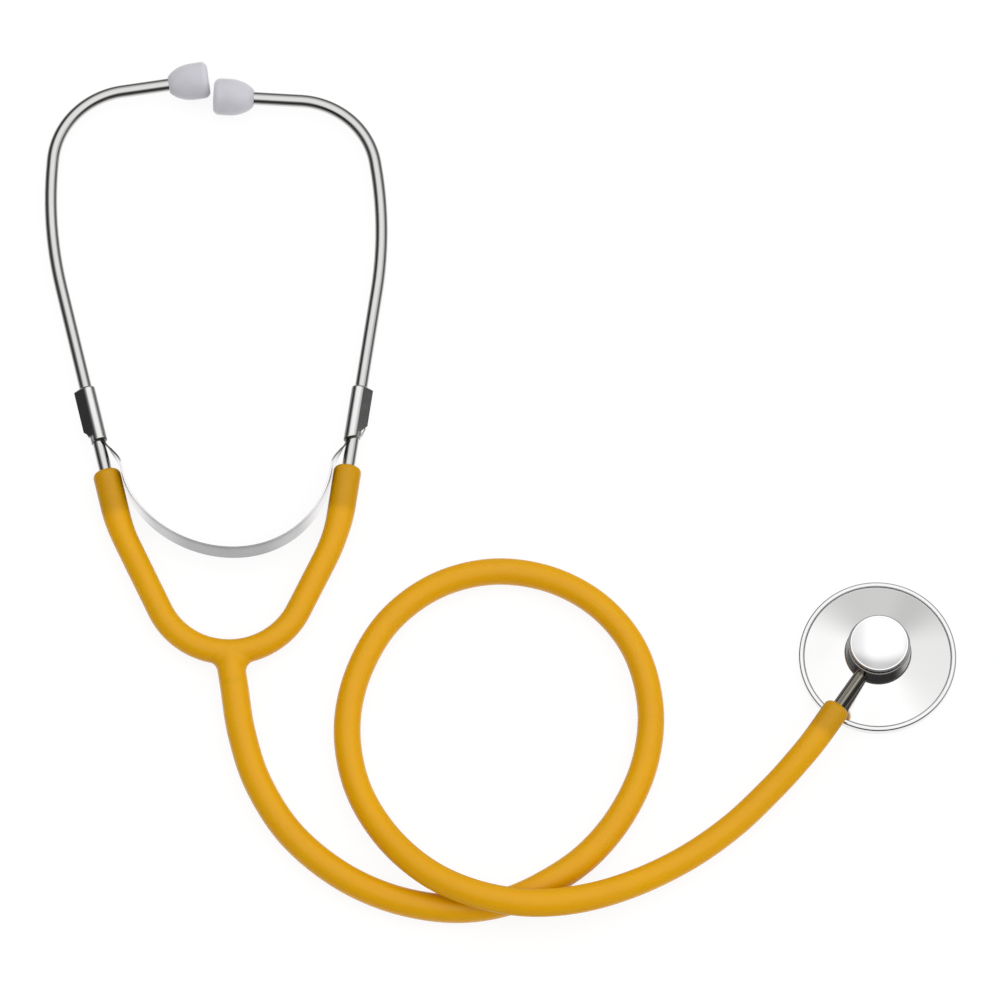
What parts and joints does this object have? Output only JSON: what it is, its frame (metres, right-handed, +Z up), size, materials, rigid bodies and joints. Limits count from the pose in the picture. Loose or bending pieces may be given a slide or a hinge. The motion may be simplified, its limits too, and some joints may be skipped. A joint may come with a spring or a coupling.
{
  "type": "toy stethoscope",
  "caption": "Toy stethoscope with sprung chrome ear tubes, soft ear tips, a yellow forked tube and a chest piece with a diaphragm.",
  "frame": {"origin": "middle of the footprint on the table, without the loose hose", "axes": "+Z up from the table, +Y from the chest piece's end towards the ear tips, +X from the ear tubes towards the chest piece"},
  "size_m": [0.2769, 0.2762, 0.0166],
  "materials": {
    "soft_tip": "milky soft plastic",
    "chrome": "polished plating",
    "spring_steel": "satin strip",
    "yellow_pvc": "soft semi-gloss PVC",
    "white_film": "stiff film"
  },
  "bodies": {
    "tubing": {"y_fork": "yellow_pvc", "hose": "yellow_pvc", "leaf_spring": "spring_steel"},
    "left_binaural": {"left_ear_tube": "chrome", "left_clip": "chrome"},
    "right_binaural": {"right_ear_tube": "chrome", "right_clip": "chrome"},
    "left_tip": {"left_ear_tip": "soft_tip"},
    "right_tip": {"right_ear_tip": "soft_tip"},
    "chest_piece": {"stem": "chrome", "chest_body": "chrome", "hub_cap": "chrome", "diaphragm": "white_film", "diaphragm_ring": "chrome"}
  },
  "joints": [
    {"name": "left_spread", "type": "hinge", "parent": "tubing", "child": "left_binaural", "pos_m": [-0.1114, -0.0477, 0.0042], "axis": [0, 0, 1], "range_deg": [0, 25], "stiffness_Nm_per_rad": 0.6, "deforming": ["leaf_spring", "y_fork"]},
    {"name": "right_spread", "type": "hinge", "parent": "tubing", "child": "right_binaural", "pos_m": [-0.0498, -0.0476, 0.0042], "axis": [0, 0, -1], "range_deg": [0, 25], "stiffness_Nm_per_rad": 0.6, "deforming": ["leaf_spring", "y_fork"]},
    {"name": "left_tip_turn", "type": "hinge", "parent": "left_binaural", "child": "left_tip", "pos_m": [-0.10096, 0.10212, 0.00545], "axis": [0.9894, 0.1426, 0.0265], "continuous": true},
    {"name": "right_tip_turn", "type": "hinge", "parent": "right_binaural", "child": "right_tip", "pos_m": [-0.07475, 0.09761, 0.00545], "axis": [-0.9985, 0.0488, 0.0265], "continuous": true},
    {"name": "chest_turn", "type": "hinge", "parent": "tubing", "child": "chest_piece", "pos_m": [0.10232, -0.10072, 0.0086], "axis": [-0.5664, -0.8241, 0], "continuous": true}
  ]
}
